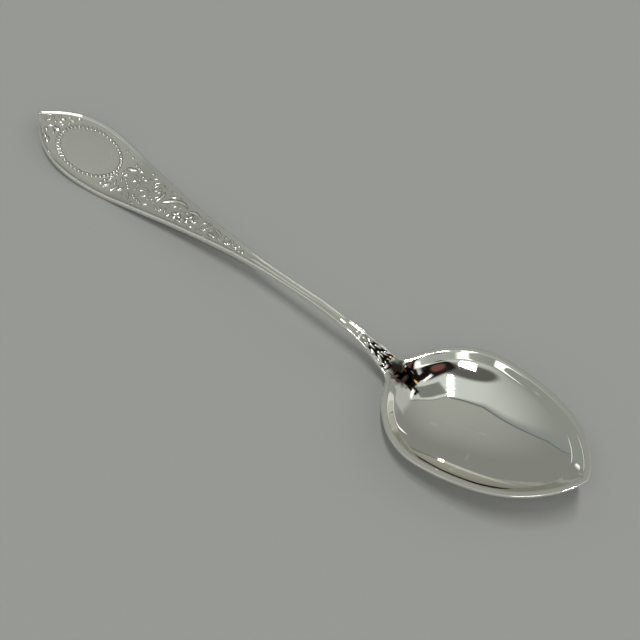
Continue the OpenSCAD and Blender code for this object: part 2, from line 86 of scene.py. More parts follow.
# Half outline of the bowl after the neck
bowlTable = [
    (0.02, 0.226), (0.034, 0.292), (0.051, 0.388), (0.078, 0.51), (0.13, 0.69), (0.22, 0.888),
    (0.335, 0.993), (0.465, 0.985), (0.583, 0.93), (0.7, 0.835), (0.82, 0.66), (0.92, 0.402),
    (0.977, 0.17), (1, 0)]


def hermiteAt(places, values, at):
    # the same smooth curve that the part's tables are read with
    t, v, q = np.asarray(places, float), np.asarray(values, float), np.asarray(at, float)
    v = v.reshape(len(t), -1)
    gaps, rises = np.diff(t), np.diff(v, axis=0)
    slopes = rises / gaps[:, None]
    inner = (slopes[:-1] * gaps[1:, None] + slopes[1:] * gaps[:-1, None]) / (gaps[:-1] + gaps[1:])[:, None]
    tangents = np.vstack([slopes[:1], inner, slopes[-1:]])
    i = np.clip(np.searchsorted(t, q, side="right") - 1, 0, len(t) - 2)
    u = ((q - t[i]) / gaps[i])[..., None]
    w = 1 - u
    found = (w * w * (1 + 2 * u) * v[i] + u * u * (1 + 2 * w) * v[i + 1]
             + gaps[i][..., None] * u * w * (w * tangents[i] - u * tangents[i + 1]))
    return found[..., 0] if found.shape[-1] == 1 else found


outlineLength = handle["length"] * (1 + handle["trimShare"])
trim = handle["length"] * handle["trimShare"]


def along(share):
    return share * outlineLength - trim


def shareAt(x):
    return (np.asarray(x, float) + trim) / outlineLength


def mixed(table, sizes, x):
    # smooth curve through the sizes that a table's shares add up to
    places, shares = [row[0] for row in table], np.array([row[1:] for row in table])
    return hermiteAt(places, shares @ np.array(sizes), shareAt(x))


def halfWidth(x):
    return mixed(widthTable, (handle["bladeWidth"], handle["stemWidth"], handle["neckWidth"]), x) / 2


def sectionMix(x, bladeSize, stemSize, neckSize):
    return mixed(sectionTable, (bladeSize, stemSize, neckSize), x)


def rawUnder(x):
    return mixed(heightTable, (handle["arch"], 0), x)


def neckPart(x):
    return mixed(heightTable, (0, 1), x)


def lipHeight(x):
    u = (x - handle["length"]) / bowl["length"]
    return bowl["lipRise"] * u - 4 * bowl["lipSag"] * u * (1 - u)


def smoothStep(a, b, x):
    t = np.clip((np.asarray(x, float) - a) / (b - a), 0, 1)
    return t * t * (3 - 2 * t)


def lerp(a, b, t):
    return a + (b - a) * t


# Outline of the bowl, from the neck's corner on the +Y side to its tip
neckX, halfNeck = handle["length"], handle["neckWidth"] / 2
rimKnots = np.array([(neckX, halfNeck)]
                    + [(neckX + a * bowl["length"], b * bowl["width"] / 2) for a, b in bowlTable])
rimPlaces = np.concatenate([[0], np.cumsum(np.sqrt(np.linalg.norm(np.diff(rimKnots, axis=0), axis=1)))])
fineRim = hermiteAt(rimPlaces, rimKnots, np.linspace(0, rimPlaces[-1], 4001))
fineLength = np.concatenate([[0], np.cumsum(np.linalg.norm(np.diff(fineRim, axis=0), axis=1))])
rimCount = round(fineLength[-1] / bowl["rimStep"])
halfRim = np.stack([np.interp(np.linspace(0, fineLength[-1], rimCount + 1), fineLength, fineRim[:, k])
                    for k in (0, 1)], axis=1)

# Places across the thread as shares of its width, from the handle's edge inward
threadTau = np.linspace(0, 1, thread["points"]) ** thread["spacing"]


def threadRise(tau, neck):
    # rounded outside and landing softly inside; at the neck it stays full to the edge
    crest, low = thread["crestAt"], thread["edgeRise"]
    outer = low + (1 - low) * np.sin(np.pi / 2 * np.clip(tau / crest, 0, 1)) ** thread["outerPower"]
    inner = np.cos(np.pi / 2 * np.clip((tau - crest) / (1 - crest), 0, 1)) ** thread["innerPower"]
    flat = 1 - smoothStep(thread["neckFrom"], 1, tau)
    return (1 - neck) * outer * inner + neck * flat


def threadAcross(x):
    # width of the thread seen from above, wider where the edge runs at a slant
    a, b = np.maximum(0, x - thread["slopeStep"]), np.minimum(neckX, x + thread["slopeStep"])
    slope = (halfWidth(b) - halfWidth(a)) / (b - a)
    share = shareAt(x)
    limit = (1 - (1 - thread["stemLimit"]) * smoothStep(*thread["stemRange"], share)
             - (thread["stemLimit"] - thread["neckLimit"]) * smoothStep(*thread["neckRange"], share))
    return np.minimum(thread["width"] * np.sqrt(1 + slope * slope), limit * halfWidth(x))


def acrossTop(x):
    # places across the top of the handle from +Y to -Y, and how far each is up the thread
    w, a = halfWidth(x), threadAcross(x)
    edge = w[:, None] - a[:, None] * threadTau
    middle = (w - a)[:, None] * np.linspace(1, -1, handle["middlePoints"] + 2)[1:-1]
    neck = smoothStep(neckX - thread["neckBlend"], neckX, x)[:, None]
    rise = threadRise(threadTau[None, :], neck)
    y = np.hstack([edge, middle, -edge[:, ::-1]])
    return y, np.hstack([rise, np.zeros_like(middle), rise[:, ::-1]])


# The places across the neck, where handle and bowl share their points
neckTop, neckRise = (row[0] for row in acrossTop(np.array([neckX])))
heelCount = len(neckTop)

# Columns of the bowl: across the heel from -Y to +Y, then clockwise from above round the rim
outline = np.vstack([np.stack([np.full(heelCount, neckX), neckTop[::-1]], axis=1),
                     halfRim[1:], (halfRim * (1, -1))[-2:0:-1]])
heelRise = np.concatenate([neckRise[::-1], np.ones(len(outline) - heelCount)])
columns = len(outline)
isHeel = np.arange(columns) < heelCount
deep = np.array([neckX + bowl["deepShare"] * bowl["length"], 0.0])
tangent = np.roll(outline, -1, axis=0) - np.roll(outline, 1, axis=0)
tangent /= np.linalg.norm(tangent, axis=1)[:, None]
toDeep = deep - outline
toDeep /= np.linalg.norm(toDeep, axis=1)[:, None]
# one millimetre of inset square to the rim, taken along the line to the deepest place
insetStep = toDeep / np.sum(toDeep * np.stack([tangent[:, 1], -tangent[:, 0]], axis=1), axis=1)[:, None]
neckDistance = np.linalg.norm(outline - (neckX, 0), axis=1)
nearHeel = 1 - smoothStep(halfNeck * 0.9, halfNeck + bowl["heelReach"], neckDistance)
outerDepth = bowl["depth"] + bowl["wall"] - bowl["lipThickness"]


def withHeight(points, z):
    return np.column_stack([points, z])


def roundness(s, power):
    return np.maximum(0, 1 - np.abs(s) ** power) ** (1 / power)


heelDrop = np.zeros(columns)
heelDrop[:heelCount] = ((handle["neckThickness"] - bowl["lipThickness"])
                        * roundness(outline[:heelCount, 1] / halfNeck, handle["stemPower"]))


def outerRing(share):
    # ring on the bowl's underside, at a share of the way out from the deepest place to the outline
    p = deep + (outline - deep) * share
    fade = np.maximum(0, 1 - (p[:, 0] - neckX) / halfNeck)
    z = (lipHeight(p[:, 0]) - bowl["lipThickness"] - thread["height"] * fade
         - outerDepth * (1 - share ** bowl["outerPower"])) - heelDrop * smoothStep(bowl["dropEnd"], 1, share)
    return withHeight(p, np.maximum(z, bowlLow))


# The bowl's lowest place, found with no flat in the way, and then cut up to the flat that it rests on
bowlLow = -math.inf
bowlLow = min(np.min(outerRing(math.cos(math.pi / 2 * k / 10))[:, 2]) for k in range(10)) + bowl["restFlat"]
neckUnder = -bowlLow - thread["height"] - handle["neckThickness"]
bladeLow = np.min(rawUnder(np.linspace(0, along(thread["bladeEnd"]), 200)))


def under(x):
    return rawUnder(x) - bladeLow * (1 - neckPart(x)) + neckPart(x) * neckUnder


def thickness(x):
    return sectionMix(x, handle["bladeThickness"], handle["stemThickness"], handle["neckThickness"])


def ground(x):
    return under(x) + thickness(x)


def rounded(before, corner, after, steps):
    # rings round a corner: from before to after with the corner as the handle of the curve
    for t in np.linspace(0, 1, steps):
        yield (1 - t) ** 2 * before + 2 * t * (1 - t) * corner + t * t * after


def roundedRadius(radius):
    # distance from the deepest place with the corners at neck and tip rounded off
    angle = np.arctan2(outline[:, 1], outline[:, 0] - deep[0])
    order = np.argsort(angle)
    even = np.linspace(-np.pi, np.pi, 721)[:-1]
    sampled = np.interp(even, angle[order], radius[order], period=2 * np.pi)
    turn = np.minimum(np.abs(even + np.pi), np.abs(np.pi - even))
    kernel = np.exp(-0.5 * (turn / math.radians(bowl["rounding"])) ** 2)
    smooth = np.real(np.fft.ifft(np.fft.fft(sampled) * np.fft.fft(kernel / kernel.sum())))
    return np.interp(angle, even, smooth, period=2 * np.pi)


full = np.linalg.norm(deep - outline, axis=1)
lipReach = np.linalg.norm(insetStep, axis=1) * bowl["lipWidth"]
innerRadius = full - lipReach
roundRadius = roundedRadius(innerRadius)


def floorShareAt(distance, i):
    # share of the way out from the deepest place to the lip, on rounder lines towards the middle
    plain, soft = distance / innerRadius[i], distance / roundRadius[i]
    return lerp(soft, plain, smoothStep(bowl["plainFrom"], 1, plain))


# How far in from the rim the sloping band meets the floor, in each column
creaseReach = np.empty(columns)
for i in range(columns):
    out = np.linspace(0, innerRadius[i], 400)
    creaseReach[i] = full[i] - np.interp(bowl["bandShare"], floorShareAt(out, i), out)


def topFalls(reaches):
    # falls inside each column at distances from the rim, eased a little at the corners and a lot at the heel
    step, margin = bowl["easingStep"], 6
    r = np.arange(-margin, full.max() + margin, step)
    kernels = []
    for sigma in bowl["easing"]:
        k = np.arange(-math.ceil(4 * sigma / step), math.ceil(4 * sigma / step) + 1) * step
        k = np.exp(-0.5 * (k / sigma) ** 2)
        kernels.append(k / k.sum())
    found = np.empty((len(reaches), columns))
    for i in range(columns):
        mirrored = np.where(r > full[i], 2 * full[i] - r, r)
        floorShare = floorShareAt(full[i] - mirrored, i)
        bandFall = bowl["depth"] * bowl["bandDepthShare"] * (1 - floorShare) / (1 - bowl["bandShare"])
        floorFall = bowl["depth"] * (1 - (1 - bowl["bandDepthShare"])
                                     * np.clip(floorShare / bowl["bandShare"], 0, 1) ** bowl["innerPower"])
        fall = np.where(mirrored < lipReach[i], 0, np.where(mirrored < creaseReach[i], bandFall, floorFall))
        fall = fall + thread["height"] * (1 - heelRise[i]) * (1 - smoothStep(0, bowl["heelFade"], r))
        eased = [np.convolve(np.pad(fall, len(k) // 2, mode="edge"), k, mode="valid") for k in kernels]
        soft = lerp(eased[0], eased[1], nearHeel[i])
        # the easing moves the rim itself, which is put back
        hold = np.exp(-(r / bowl["rimHold"]) ** 2) * (r < margin / 2)
        soft = soft + (fall[0] - np.interp(0, r, soft)) * hold
        found[:, i] = np.interp(reaches[:, i], r, soft)
    return found


def bowlRings():
    # rings from the deepest place inside, out over the lip, and back underneath
    edge = bowl["edgeRadius"] * ~isHeel * (1 - nearHeel)
    around = np.linspace(-1, 1, bowl["cornerPoints"])[:, None]
    aroundCrease = around * bowl["creaseSpan"] + creaseReach
    aroundLip = around * bowl["lipSpan"] + lipReach
    onLip = edge + (aroundLip[0] - edge) * np.linspace(0, 1, 4)[:-1, None]
    onBand = aroundLip[-1] + (aroundCrease[0] - aroundLip[-1]) * np.linspace(0, 1, 4)[1:-1, None]
    onFloor = aroundCrease[-1] + (full - aroundCrease[-1]) * np.linspace(0, 1, bowl["floorRings"])[1:-1, None]
    reaches = np.vstack([onLip, aroundLip, onBand, aroundCrease, onFloor])
    falls = topFalls(reaches)
    toward = (deep - outline) / full[:, None]
    inside = []
    for reach, fall in zip(reaches[::-1], falls[::-1]):
        p = outline + toward * reach[:, None]
        inside.append(withHeight(p, lipHeight(p[:, 0]) - fall))
    down, lipEdge = np.array([0, 0, -1.0]), inside.pop()
    rim = withHeight(outline, lipHeight(outline[:, 0]) - thread["height"] * (1 - heelRise))
    inside += list(rounded(lipEdge, rim, rim + down * edge[:, None], 7))
    bottom, beneath = outerRing(1), outerRing(bowl["cornerShare"])
    inward = lerp(bottom, beneath, edge[:, None] / bowl["cornerReach"])
    outer = list(rounded(bottom - down * edge[:, None], bottom, inward, 6))
    outer += [outerRing(s) for s in bowl["underShare"] * (1 - np.linspace(0, 1, bowl["underRings"])[:-1])]
    return inside, outer


def stations():
    # places of the handle's rings, closer together where it is thin
    thin = along(spoon["thinFrom"])
    close = np.linspace(thin, neckX, round((neckX - thin) / spoon["thinStation"]))
    return np.concatenate([np.arange(0, thin, spoon["station"]), close])


def handleRings(x):
    # y and z round the handle at each x: over the top from +Y to -Y, and back underneath
    y, rise = acrossTop(x)
    g = ground(x)[:, None]
    share = shareAt(x)[:, None]
    ribFade = (smoothStep(rib["start"], rib["start"] + rib["fade"], share)
               * (1 - smoothStep(rib["end"] - rib["fade"], rib["end"], share)))
    ribRise = rib["height"] * ribFade * np.maximum(0, 1 - (2 * y / rib["width"]) ** 2) ** 2
    z = g + thread["height"] * rise + ribRise
    # underneath, the places across are those of the neck, so that handle and bowl share points there too
    s = neckTop[::-1] / halfNeck
    w = halfWidth(x)[:, None]
    side = sectionMix(x, handle["bladeSide"], handle["stemSide"], bowl["lipThickness"])[:, None]
    t = thickness(x)[:, None]
    power = sectionMix(x, handle["bladePower"], handle["stemPower"], handle["stemPower"])[:, None]
    yUnder = s * w
    zUnder = g - side - (t - side) * roundness(s, power)
    return np.hstack([y, yUnder]), np.hstack([z, zUnder])


def addObject(name, data):
    made = bpy.data.objects.new(name, data)
    bpy.context.collection.objects.link(made)
    return made


def meshObject(name, points, faces, material):
    mesh = bpy.data.meshes.new(name)
    mesh.from_pydata(points, [], faces)
    mesh.polygons.foreach_set("use_smooth", [True] * len(mesh.polygons))
    mesh.materials.append(material)
    return addObject(name, mesh)


def sewn(piece):
    # joins the points that lie on each other and turns all faces outward
    work = bmesh.new()
    work.from_mesh(piece.data)
    bmesh.ops.remove_doubles(work, verts=work.verts, dist=0.0004 * mm)
    bmesh.ops.dissolve_degenerate(work, edges=work.edges, dist=0.0002 * mm)
    bmesh.ops.recalc_face_normals(work, faces=work.faces)
    work.to_mesh(piece.data)
    work.free()


def placed(points):
    # millimetres from the handle's tip to metres in the part's frame
    out = np.asarray(points, float).copy()
    out[:, 0] -= spoon["length"] / 2
    return out * mm


def softened(piece, centre, reach, rounds):
    # eases the surface near one place, so that neighbouring shapes flow together
    mesh = piece.data
    points = np.empty(len(mesh.vertices) * 3)
    mesh.vertices.foreach_get("co", points)
    points = points.reshape(-1, 3)
    edges = np.empty(len(mesh.edges) * 2, dtype=int)
    mesh.edges.foreach_get("vertices", edges)
    edges = edges.reshape(-1, 2)
    counts = np.bincount(edges.ravel(), minlength=len(points))[:, None]
    weight = np.exp(-(((points[:, 0] - centre) / reach) ** 2))[:, None]
    for _ in range(rounds):
        total = np.zeros_like(points)
        np.add.at(total, edges[:, 0], points[edges[:, 1]])
        np.add.at(total, edges[:, 1], points[edges[:, 0]])
        points += weight * 0.5 * (total / counts - points)
    mesh.vertices.foreach_set("co", points.ravel())
    mesh.update()


def linear(hexColour):
    # sRGB hex to the linear colour that nodes take
    parts = [int(hexColour[i:i + 2], 16) / 255 for i in (1, 3, 5)]
    return [c / 12.92 if c <= 0.04045 else ((c + 0.055) / 1.055) ** 2.4 for c in parts] + [1]


rgba = {"data_type": "RGBA"}


def addNode(tree, kind, settings=None, inputs=None):
    # adds one node, sets its properties, and gives its sockets, by name or number, a value or a link
    made = tree.nodes.new(kind)
    for key, value in (settings or {}).items():
        setattr(made, key, value)
    for key, source in (inputs or {}).items():
        if isinstance(source, bpy.types.NodeSocket):
            tree.links.new(source, made.inputs[key])
        else:
            made.inputs[key].default_value = source
    return made


def newMaterial(name):
    made = bpy.data.materials.new(name)
    made.use_nodes = True
    made.node_tree.nodes.clear()
    return made, made.node_tree


# Wear in millimetres; real washing scratches are 0.02 wide and are drawn coarser, so that they show
wear = {
    "cloud": 11, "ripple": 3.5, "rippleHeight": 0.0022, "grain": 0.3, "grainHeight": 0.012,
    "scratchLength": 3.5, "scratchWidth": 0.12, "scratchDepth": 0.0003, "scratchTurns": (25, 110),
    # roughness: clean and clouded metal, and what scratches and rubbed edges add
    "clean": 0.02, "clouded": 0.05, "scratched": 0.06, "edged": 0.05,
    # painted shade and tarnish darkening the hollow where the neck meets the bowl: its middle behind the neck,
    # half its length and width, how fine its mottle is, and where its edge ends and starts
    "shadeAndTarnish": 2.4, "shadeAndTarnishLength": 3.2, "shadeAndTarnishWidth": 2.3, "mottle": 1.2, "shadeAndTarnishEdge": (1.65, 1.15),
}


def polishedSilver():
    # Sterling silver, struck and mirror polished; washing scratches and a rubbed edge soften its highlights
    made, tree = newMaterial("polishedSterlingSilver")
    where = addNode(tree, "ShaderNodeTexCoord").outputs["Object"]
    cloud = addNode(tree, "ShaderNodeTexNoise", {}, {
        "Vector": where, "Scale": 1 / (wear["cloud"] * mm), "Detail": 3})
    scratches = 0
    for turn in wear["scratchTurns"]:
        width = wear["scratchWidth"] * mm
        laid = addNode(tree, "ShaderNodeMapping", {"vector_type": "TEXTURE"}, {
            "Vector": where, "Rotation": (0, 0, math.radians(turn)),
            "Scale": (wear["scratchLength"] * mm, width, width)})
        streaks = addNode(tree, "ShaderNodeTexNoise", {}, {
            "Vector": laid.outputs["Vector"], "Scale": 1, "Detail": 1})
        fine = addNode(tree, "ShaderNodeMapRange", {}, {
            "Value": streaks.outputs["Fac"], "From Min": 0.6, "From Max": 0.85})
        scratches = addNode(tree, "ShaderNodeMath", {"operation": "MAXIMUM"}, {
            0: fine.outputs[0], 1: scratches}).outputs[0]
    geometry = addNode(tree, "ShaderNodeNewGeometry").outputs
    rubbed = addNode(tree, "ShaderNodeMapRange", {}, {
        "Value": geometry["Pointiness"], "From Min": 0.5, "From Max": 0.58}).outputs[0]
    rough = addNode(tree, "ShaderNodeMapRange", {}, {
        "Value": cloud.outputs["Fac"], "To Min": wear["clean"], "To Max": wear["clouded"]}).outputs[0]
    for worn, added in ((scratches, wear["scratched"]), (rubbed, wear["edged"])):
        rough = addNode(tree, "ShaderNodeMath", {"operation": "MULTIPLY_ADD"}, {
            0: worn, 1: added, 2: rough}).outputs[0]
    colour = addNode(tree, "ShaderNodeMix", rgba, {0: rubbed, 6: linear("#f2efe7"), 7: linear("#fcfaf5")}).outputs[2]
    # painted shade and tarnish: a dark patch over the hollow behind the neck, on faces that look up
    hollow = addNode(tree, "ShaderNodeMapping", {"vector_type": "TEXTURE"}, {
        "Vector": where, "Location": ((neckX + wear["shadeAndTarnish"] - spoon["length"] / 2) * mm, 0, 0),
        "Scale": (wear["shadeAndTarnishLength"] * mm, wear["shadeAndTarnishWidth"] * mm, 1)})
    away = addNode(tree, "ShaderNodeVectorMath", {"operation": "LENGTH"}, {
        0: hollow.outputs["Vector"]}).outputs["Value"]
    mottle = addNode(tree, "ShaderNodeTexNoise", {}, {
        "Vector": where, "Scale": 1 / (wear["mottle"] * mm), "Detail": 2}).outputs["Fac"]
    away = addNode(tree, "ShaderNodeMath", {"operation": "ADD"}, {0: away, 1: mottle}).outputs[0]
    edgeEnd, edgeStart = wear["shadeAndTarnishEdge"]
    shadeAndTarnished = addNode(tree, "ShaderNodeMapRange", {}, {
        "Value": away, "From Min": edgeEnd, "From Max": edgeStart}).outputs[0]
    facing = addNode(tree, "ShaderNodeSeparateXYZ", {}, {"Vector": geometry["Normal"]})
    onTop = addNode(tree, "ShaderNodeMapRange", {}, {
        "Value": facing.outputs["Z"], "From Min": 0, "From Max": 0.3}).outputs[0]
    shadeAndTarnished = addNode(tree, "ShaderNodeMath", {"operation": "MULTIPLY"}, {0: shadeAndTarnished, 1: onTop}).outputs[0]
    # the patch darkens the metal towards #54483f, painted shade with tarnish
    colour = addNode(tree, "ShaderNodeMix", rgba, {0: shadeAndTarnished, 6: colour, 7: linear("#54483f")}).outputs[2]
    ripple = addNode(tree, "ShaderNodeTexNoise", {}, {
        "Vector": where, "Scale": 1 / (wear["ripple"] * mm), "Detail": 1})
    bent = addNode(tree, "ShaderNodeBump", {}, {
        "Height": ripple.outputs["Fac"], "Distance": wear["rippleHeight"] * mm})
    bent = addNode(tree, "ShaderNodeBump", {"invert": True}, {
        "Height": scratches, "Distance": wear["scratchDepth"] * mm, "Normal": bent.outputs["Normal"]})
    shader = addNode(tree, "ShaderNodeBsdfPrincipled", {}, {
        "Base Color": colour, "Metallic": 1, "Roughness": rough, "Normal": bent.outputs["Normal"]})
    addNode(tree, "ShaderNodeOutputMaterial", {}, {"Surface": shader.outputs["BSDF"]})
    return made


def struckSilver():
    # Sterling silver, struck in a die and lightly buffed; rubbed bright on the crests, painted shade and tarnish at
    # their feet
    made, tree = newMaterial("struckSterlingSilver")
    where = addNode(tree, "ShaderNodeTexCoord").outputs["Object"]
    grain = addNode(tree, "ShaderNodeTexNoise", {}, {
        "Vector": where, "Scale": 1 / (wear["grain"] * mm), "Detail": 2})
    crest = addNode(tree, "ShaderNodeAttribute", {"attribute_name": "polishAndLightShare"}).outputs["Fac"]
    # dark at the foot (#827d72): painted shade with some tarnish; bright on the rubbed crests
    colour = addNode(tree, "ShaderNodeMix", rgba, {0: crest, 6: linear("#827d72"), 7: linear("#fcfaf4")}).outputs[2]
    rough = addNode(tree, "ShaderNodeMapRange", {}, {"Value": crest, "To Min": 0.25, "To Max": 0.08}).outputs[0]
    rough = addNode(tree, "ShaderNodeMath", {"operation": "MULTIPLY_ADD"}, {
        0: grain.outputs["Fac"], 1: 0.1, 2: rough})
    pitted = addNode(tree, "ShaderNodeBump", {}, {
        "Height": grain.outputs["Fac"], "Distance": wear["grainHeight"] * mm})
    shader = addNode(tree, "ShaderNodeBsdfPrincipled", {}, {
        "Base Color": colour, "Metallic": 1, "Roughness": rough.outputs[0], "Normal": pitted.outputs["Normal"]})
    addNode(tree, "ShaderNodeOutputMaterial", {}, {"Surface": shader.outputs["BSDF"]})
    return made


print("geometry of the struck blank")
silver = polishedSilver()
inside, outer = bowlRings()
verts, faces, rings = [], [], inside + outer
# lifts the bowl's lowest place to the table
lift = np.array([0, 0, -bowlLow])
innerLast = len(inside) - 1
for ring in rings:
    verts.extend(ring + lift)
for i in range(len(rings) - 1):
    for j in range(columns):
        k = (j + 1) % columns
        # the heel's edge stays open for the handle
        if i == innerLast and isHeel[j] and isHeel[k]:
            continue
        a, b = i * columns + j, i * columns + k
        faces.append((a, a + columns, b + columns, b))
innerPole, outerPole = len(verts), len(verts) + 1
verts.append(withHeight(deep[None], lipHeight(deep[:1]) - bowl["depth"])[0] + lift)
verts.append(outerRing(0)[0] + lift)
last = (len(rings) - 1) * columns
for j in range(columns):
    k = (j + 1) % columns
    faces.append((innerPole, j, k))
    faces.append((outerPole, last + k, last + j))
xs = stations()
ys, zs = handleRings(xs)
first, ringSize = len(verts), ys.shape[1]
for x, rowY, rowZ in zip(xs, ys, zs):
    verts.extend(np.column_stack([np.full(ringSize, x), rowY, rowZ]))
for i in range(len(xs) - 1):
    for j in range(ringSize):
        a, b = first + i * ringSize + j, first + i * ringSize + (j + 1) % ringSize
        faces.append((a, b, b + ringSize, a + ringSize))
faces.append(tuple(first + j for j in range(ringSize)))
blank = meshObject("SpoonBlank", placed(verts).tolist(), faces, silver)
sewn(blank)
softened(blank, (neckX - spoon["length"] / 2) * mm, bowl["heelSoft"] * mm, bowl["heelRounds"])
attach(blank, "root")
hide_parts("bowl", "drop", "stem", "blade", "thread_left", "thread_right", "stem_rib")

print("struck ornament")
ornament = {
    "strokeWidth": 0.6, "height": 0.24, "crest": 1.7, "beadWidth": 0.7, "beadHeight": 0.24,
    "leafPeak": 0.4, "leafPoint": 0.6, "voluteWidth": 0.8,
    "petalWidth": 1.5, "petalFrom": 0.25, "pistil": 0.5,
    # the fringe is a low band round each stroke that carries the painted shade and tarnish
    "fringe": 1.35, "fringeHeight": 0.012,
    # the skin: its grid, how far it is sunk, how thick it is, and what is left off or added round it
    "lineStep": 0.15, "grid": 0.1, "sunk": 0.04, "skin": 0.14, "least": 0.01, "thinnest": 0.02, "margin": 0.5,
}
foot = ornament["sunk"] + ornament["fringeHeight"]
reserve = {"place": 0.171, "length": 15.4, "width": 9.8, "height": 0.12, "edge": 3, "margin": 0.3,
           "beads": 46, "beadGap": 0.4, "reedsFrom": -0.3, "reedWidth": 0.9}
# Strokes: share of the stroke's width, then places along and across the handle as shares of its length.
# Beads: size and place. Volutes: centre, widest and smallest radius, first angle, turn. Flowers: centre and radius.
tipStrokes = [
    (1.2, (0.063, 0.019), (0.073, 0.024)), (1, (0.084, 0.029), (0.091, 0.035)),
    (0.9, (0.056, -0.013), (0.068, -0.004)), (1.7, (0.07, -0.007), (0.085, -0.005)),
    (1.2, (0.055, -0.02), (0.067, -0.024)), (1.3, (0.065, -0.031), (0.077, -0.038)),
    (1.5, (0.078, -0.034), (0.089, -0.045)), (1.1, (0.089, 0.043), (0.098, 0.046)),
    (0.8, (0.074, 0.031), (0.078, 0.037)), (0.8, (0.069, 0.008), (0.074, 0.016)),
    (0.8, (0.078, 0.006), (0.081, 0.015)), (0.9, (0.076, -0.014), (0.083, -0.022))]
tipBeads = [(0.9, (0.087, 0.02)), (0.7, (0.057, 0.023)), (0.7, (0.06, 0.006))]
tipVolutes = [((0.043, 0.003), 0.012, 0.004, 20, 400)]
sprayStrokes = [
    (1, (0.253, -0.02), (0.26, -0.01)), (0.9, (0.253, -0.026), (0.262, -0.02)),
    (1, (0.248, -0.033), (0.255, -0.03)), (1.1, (0.25, -0.038), (0.249, -0.046)),
    (1.3, (0.266, -0.029), (0.258, -0.048)), (1, (0.268, -0.016), (0.275, -0.028)),
    (1.2, (0.283, -0.023), (0.281, -0.046)), (1.2, (0.296, -0.023), (0.29, -0.035)),
    (1.6, (0.264, 0.021), (0.283, 0.031)), (1, (0.291, 0.03), (0.299, 0.037)),
    (0.9, (0.269, 0.044), (0.275, 0.037)), (0.9, (0.262, 0.012), (0.268, 0.003)),
    (0.9, (0.278, 0.012), (0.273, 0.002)), (0.8, (0.272, -0.002), (0.28, -0.012))]
sprayBeads = [(0.8, (0.23, 0.055)), (0.8, (0.252, 0.05)), (0.9, (0.284, 0.037)), (0.7, (0.26, -0.003)),
              (0.8, (0.32, 0.044))]
scrollStrokes = [
    (0.9, (0.289, 0.021), (0.303, 0.014), (0.31, 0.015)), (1, (0.315, 0.018), (0.325, 0.025)),
    (0.9, (0.313, 0.011), (0.316, 0.002), (0.321, -0.013)), (0.7, (0.298, 0.001), (0.306, 0.01)),
    (0.7, (0.313, -0.022), (0.323, -0.034), (0.33, -0.039)), (1, (0.305, 0.028), (0.311, 0.021)),
    (0.9, (0.327, -0.022), (0.331, -0.027)), (0.9, (0.335, -0.024), (0.338, -0.03)),
    (0.9, (0.343, -0.026), (0.346, -0.032)), (0.9, (0.351, -0.028), (0.354, -0.034)),
    (1, (0.36, -0.031), (0.373, -0.023)), (1.2, (0.377, 0.023), (0.382, 0.009), (0.381, -0.008)),
    (0.7, (0.37, 0.02), (0.374, 0.008), (0.372, -0.004)), (1.2, (0.396, 0.019), (0.409, 0.026)),
    (1.4, (0.39, -0.003), (0.404, 0.011), (0.42, 0.02), (0.437, 0.022), (0.452, 0.016)),
    (0.8, (0.387, -0.017), (0.396, -0.023)), (0.8, (0.4, -0.013), (0.406, -0.024)),
    (0.8, (0.409, -0.008), (0.418, -0.02)), (0.8, (0.42, 0.002), (0.428, 0.012)),
    (0.7, (0.425, -0.024), (0.432, -0.016)),
    (0.6, (0.344, 0.025), (0.348, 0.034), (0.359, 0.036), (0.371, 0.032)),
    (0.5, (0.378, -0.014), (0.379, -0.007)), (0.5, (0.43, 0.007), (0.437, 0.01)),
    (0.6, (0.44, 0.003), (0.448, 0.002)), (0.6, (0.303, -0.034), (0.312, -0.038)),
    (0.6, (0.335, -0.038), (0.345, -0.041)), (0.6, (0.33, 0.034), (0.339, 0.04)),
    (0.5, (0.322, 0.031), (0.333, 0.028)), (0.6, (0.365, 0.033), (0.378, 0.035)),
    (0.6, (0.386, 0.033), (0.398, 0.034)), (0.6, (0.415, 0.03), (0.43, 0.029)),
    (0.5, (0.403, 0.002), (0.415, 0.008)), (0.5, (0.412, -0.001), (0.423, 0.006))]
scrollBeads = [(0.7, (0.283, -0.001)), (0.7, (0.29, -0.007)), (0.7, (0.297, -0.011)), (0.7, (0.304, -0.016)),
               (0.7, (0.36, -0.013)), (0.7, (0.345, 0.026)), (0.5, (0.336, 0.004)), (0.5, (0.349, 0.001)),
               (0.5, (0.359, -0.005)), (0.5, (0.369, -0.009)), (0.6, (0.405, -0.017))]
scrollVolutes = [((0.341, -0.007), 0.014, 0.005, 130, -420), ((0.358, 0.017), 0.011, 0.004, 300, 420)]
rosetteStrokes = [
    (1.2, (0.449, -0.018), (0.462, -0.018)), (1.3, (0.457, 0.011), (0.471, 0.017), (0.49, 0.014)),
    (0.9, (0.485, -0.006), (0.492, 0.004)), (0.9, (0.481, -0.017), (0.492, -0.014)),
    (0.6, (0.45, 0.006), (0.459, 0.008)), (0.6, (0.43, -0.02), (0.438, -0.022)),
    (0.6, (0.455, -0.011), (0.461, -0.013)), (0.5, (0.478, 0.008), (0.49, 0.008)),
    (0.5, (0.498, -0.01), (0.506, -0.015))]
rosetteFlowers = [((0.442, -0.009), 0.011), ((0.471, -0.002), 0.012)]
